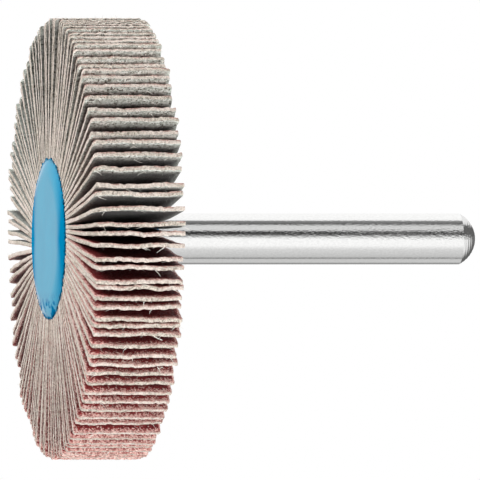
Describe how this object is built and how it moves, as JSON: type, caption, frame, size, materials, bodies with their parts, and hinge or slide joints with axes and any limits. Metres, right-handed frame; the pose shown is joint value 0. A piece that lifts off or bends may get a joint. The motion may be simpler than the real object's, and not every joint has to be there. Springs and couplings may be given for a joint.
{
  "type": "mounted flap wheel",
  "caption": "Mounted flap wheel: a fan of abrasive cloth flaps held in a blue resin core around a round steel shank with a domed end.",
  "frame": {"origin": "middle of the front face of the resin core, the face that the wheel stands on", "axes": "+Z along the shank, from the core's front face to the shank's free end; X and Y across the wheel, which looks alike all round"},
  "size_m": [0.0516, 0.0515, 0.0514],
  "materials": {
    "steel": "ground and polished",
    "resin": "glossy cast resin",
    "abrasive_cloth": "grey cloth on one side, dark red grit on the other"
  },
  "bodies": {
    "root": {"shank": "steel", "resin_core": "resin", "flaps_01": "abrasive_cloth", "flaps_02": "abrasive_cloth", "flaps_03": "abrasive_cloth", "flaps_04": "abrasive_cloth", "flaps_05": "abrasive_cloth", "flaps_06": "abrasive_cloth", "flaps_07": "abrasive_cloth", "flaps_08": "abrasive_cloth", "flaps_09": "abrasive_cloth", "flaps_10": "abrasive_cloth", "flaps_11": "abrasive_cloth", "flaps_12": "abrasive_cloth", "flaps_13": "abrasive_cloth", "flaps_14": "abrasive_cloth", "flaps_15": "abrasive_cloth", "flaps_16": "abrasive_cloth", "flaps_17": "abrasive_cloth", "flaps_18": "abrasive_cloth", "flaps_19": "abrasive_cloth", "flaps_20": "abrasive_cloth", "flaps_21": "abrasive_cloth", "flaps_22": "abrasive_cloth", "flaps_23": "abrasive_cloth", "flaps_24": "abrasive_cloth", "flaps_25": "abrasive_cloth", "flaps_26": "abrasive_cloth", "flaps_27": "abrasive_cloth", "flaps_28": "abrasive_cloth", "flaps_29": "abrasive_cloth", "flaps_30": "abrasive_cloth", "flaps_31": "abrasive_cloth", "flaps_32": "abrasive_cloth", "flaps_33": "abrasive_cloth", "flaps_34": "abrasive_cloth", "flaps_35": "abrasive_cloth", "flaps_36": "abrasive_cloth", "flaps_37": "abrasive_cloth", "flaps_38": "abrasive_cloth", "flaps_39": "abrasive_cloth", "flaps_40": "abrasive_cloth", "flaps_41": "abrasive_cloth", "flaps_42": "abrasive_cloth", "flaps_43": "abrasive_cloth", "flaps_44": "abrasive_cloth", "flaps_45": "abrasive_cloth", "flaps_46": "abrasive_cloth", "flaps_47": "abrasive_cloth", "flaps_48": "abrasive_cloth", "flaps_49": "abrasive_cloth", "flaps_50": "abrasive_cloth", "flaps_51": "abrasive_cloth", "flaps_52": "abrasive_cloth", "flaps_53": "abrasive_cloth", "flaps_54": "abrasive_cloth", "flaps_55": "abrasive_cloth", "flaps_56": "abrasive_cloth", "flaps_57": "abrasive_cloth", "flaps_58": "abrasive_cloth"}
  },
  "joints": []
}
